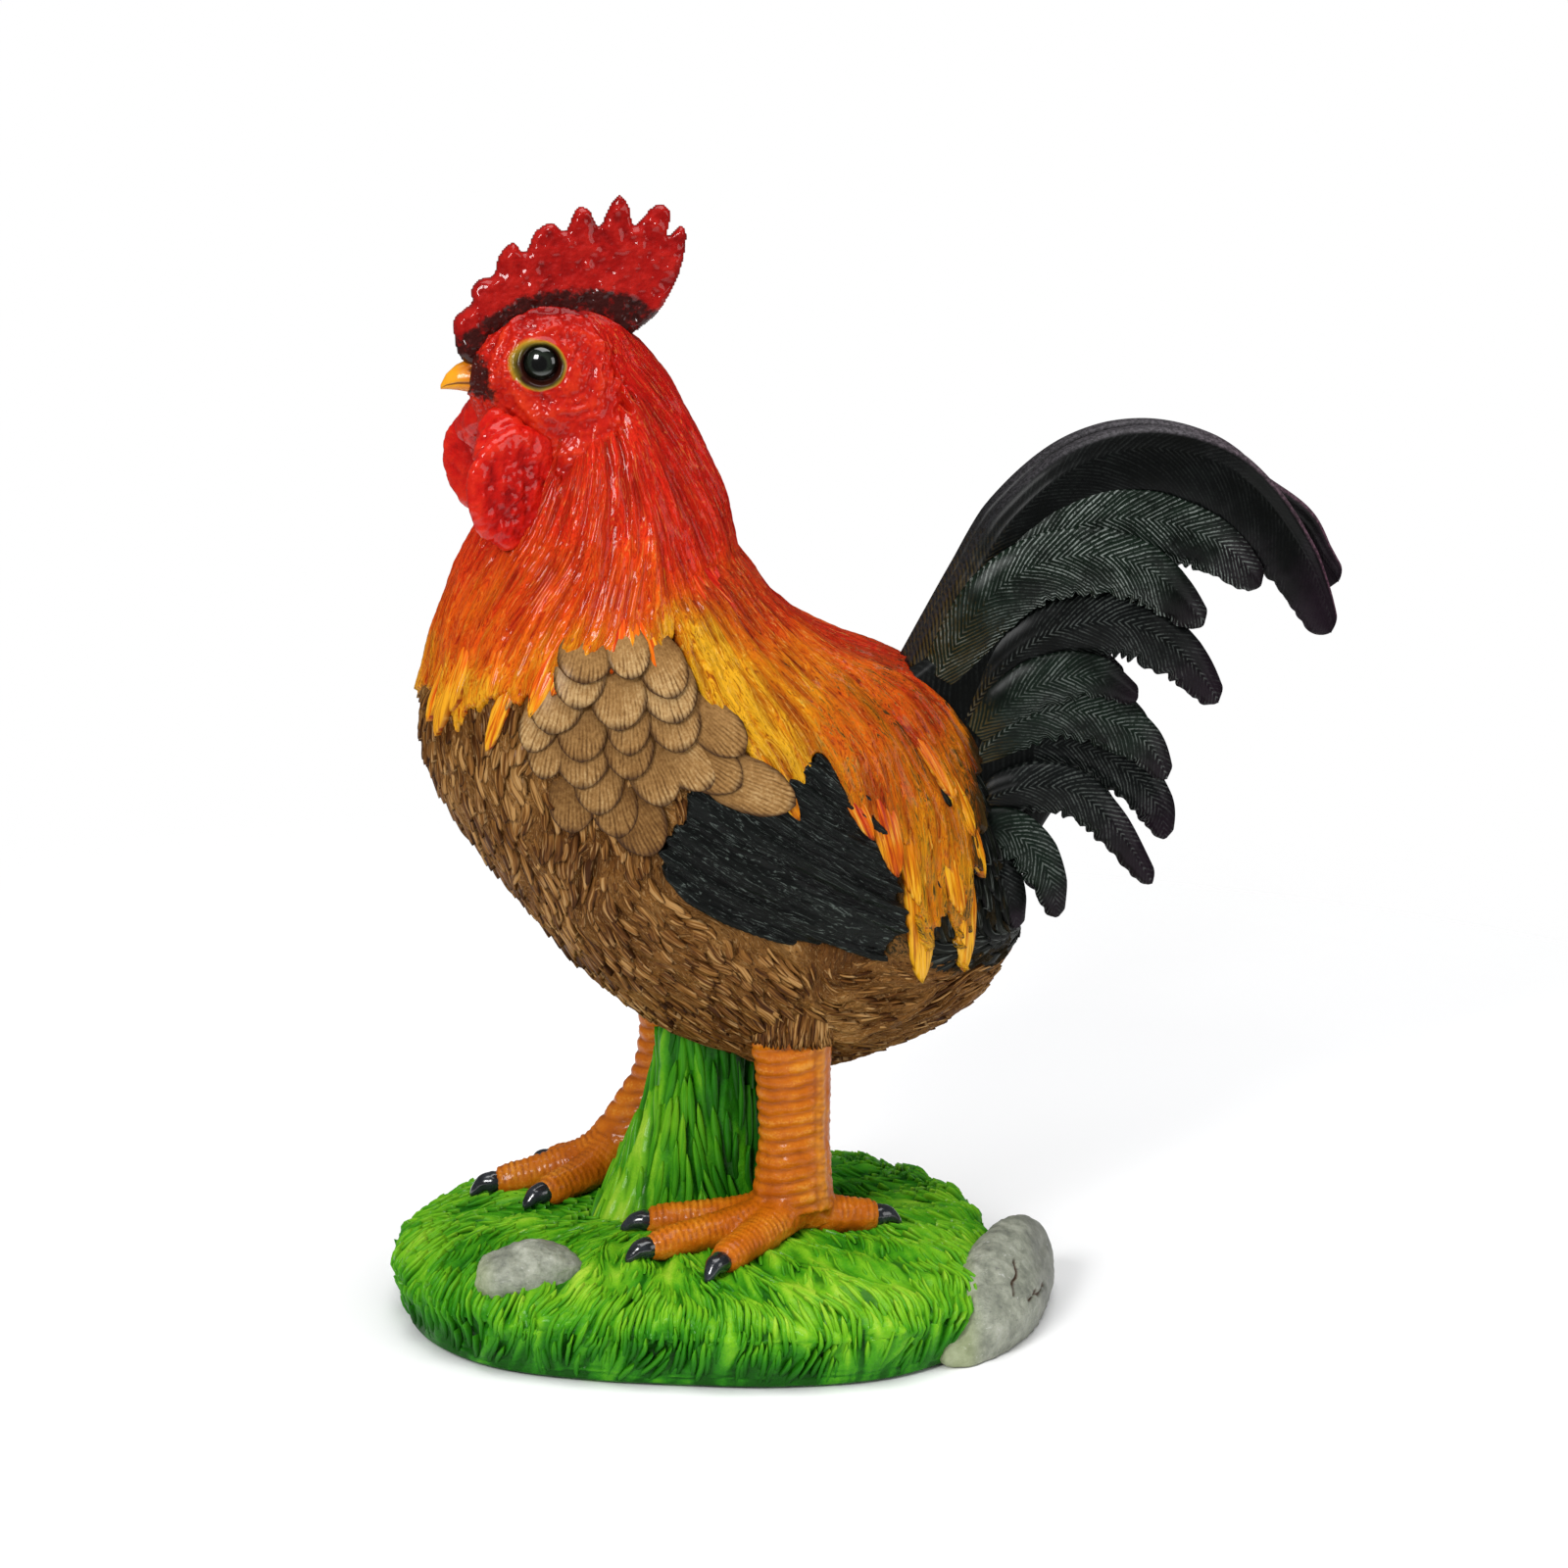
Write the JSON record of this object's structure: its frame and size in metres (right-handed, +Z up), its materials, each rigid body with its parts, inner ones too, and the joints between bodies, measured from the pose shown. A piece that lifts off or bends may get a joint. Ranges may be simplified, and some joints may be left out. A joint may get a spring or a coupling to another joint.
{
  "type": "rooster sculpture",
  "caption": "Painted resin rooster standing on a grass mound, with serrated comb, wattles, layered feather capes, folded wings and a fan of arched sickle tail feathers.",
  "frame": {"origin": "middle of the base's flat underside", "axes": "+Z up, the bird looks along -X with its tail towards +X, its left side faces -Y"},
  "size_m": [0.3372, 0.1977, 0.3953],
  "materials": {
    "grass": "painted cast resin, carved grass blades, satin varnish",
    "stone": "painted cast resin, grey stone finish with a dark wash",
    "legs": "painted cast resin, ochre orange scales, black claws, satin varnish",
    "armature": "plain mild steel rod",
    "breast": "painted cast resin, brown carved feathers with a dark wash",
    "hackle": "painted cast resin, red blending to orange and yellow, satin varnish",
    "saddle": "painted cast resin, red blending to golden yellow, satin varnish",
    "coverts": "painted cast resin, tan scalloped feathers with dark edges",
    "quills": "painted cast resin, black with grey-green streaks",
    "face": "painted cast resin, wrinkled red skin, satin varnish",
    "comb": "painted cast resin, deep red, gloss varnish",
    "beak": "painted cast resin, yellow horn, gloss varnish",
    "eye": "glossy enamelled bead, dark pupil in a grey-green iris",
    "tail": "painted cast resin, black with a green and purple sheen, satin varnish"
  },
  "bodies": {
    "root": {"base_mound": "grass", "rock_large": "stone", "rock_small": "stone", "grass_post": "grass", "left_leg": "legs", "left_leg_rod": "armature", "right_leg": "legs", "right_leg_rod": "armature", "body_shell": "breast", "hackle_cape": "hackle", "saddle_cape": "saddle", "left_wing_coverts": "coverts", "right_wing_coverts": "coverts", "left_wing_quills": "quills", "right_wing_quills": "quills", "head": "face", "beak": "beak", "comb": "comb", "left_wattle": "comb", "right_wattle": "comb", "left_eye": "eye", "right_eye": "eye", "tail_web": "tail", "left_sickle_3": "tail", "right_sickle_3": "tail", "left_tail_feather_5": "tail", "right_tail_feather_5": "tail", "left_tail_feather_6": "tail", "right_tail_feather_6": "tail", "left_tail_feather_2": "tail", "right_tail_feather_2": "tail", "left_tail_feather_1": "tail", "right_tail_feather_1": "tail", "left_tail_feather_3": "tail", "right_tail_feather_3": "tail", "left_tail_feather_7": "tail", "right_tail_feather_7": "tail", "left_sickle_2": "tail", "right_sickle_2": "tail", "left_tail_feather_4": "tail", "right_tail_feather_4": "tail", "left_great_sickle": "tail", "right_great_sickle": "tail"}
  },
  "joints": []
}
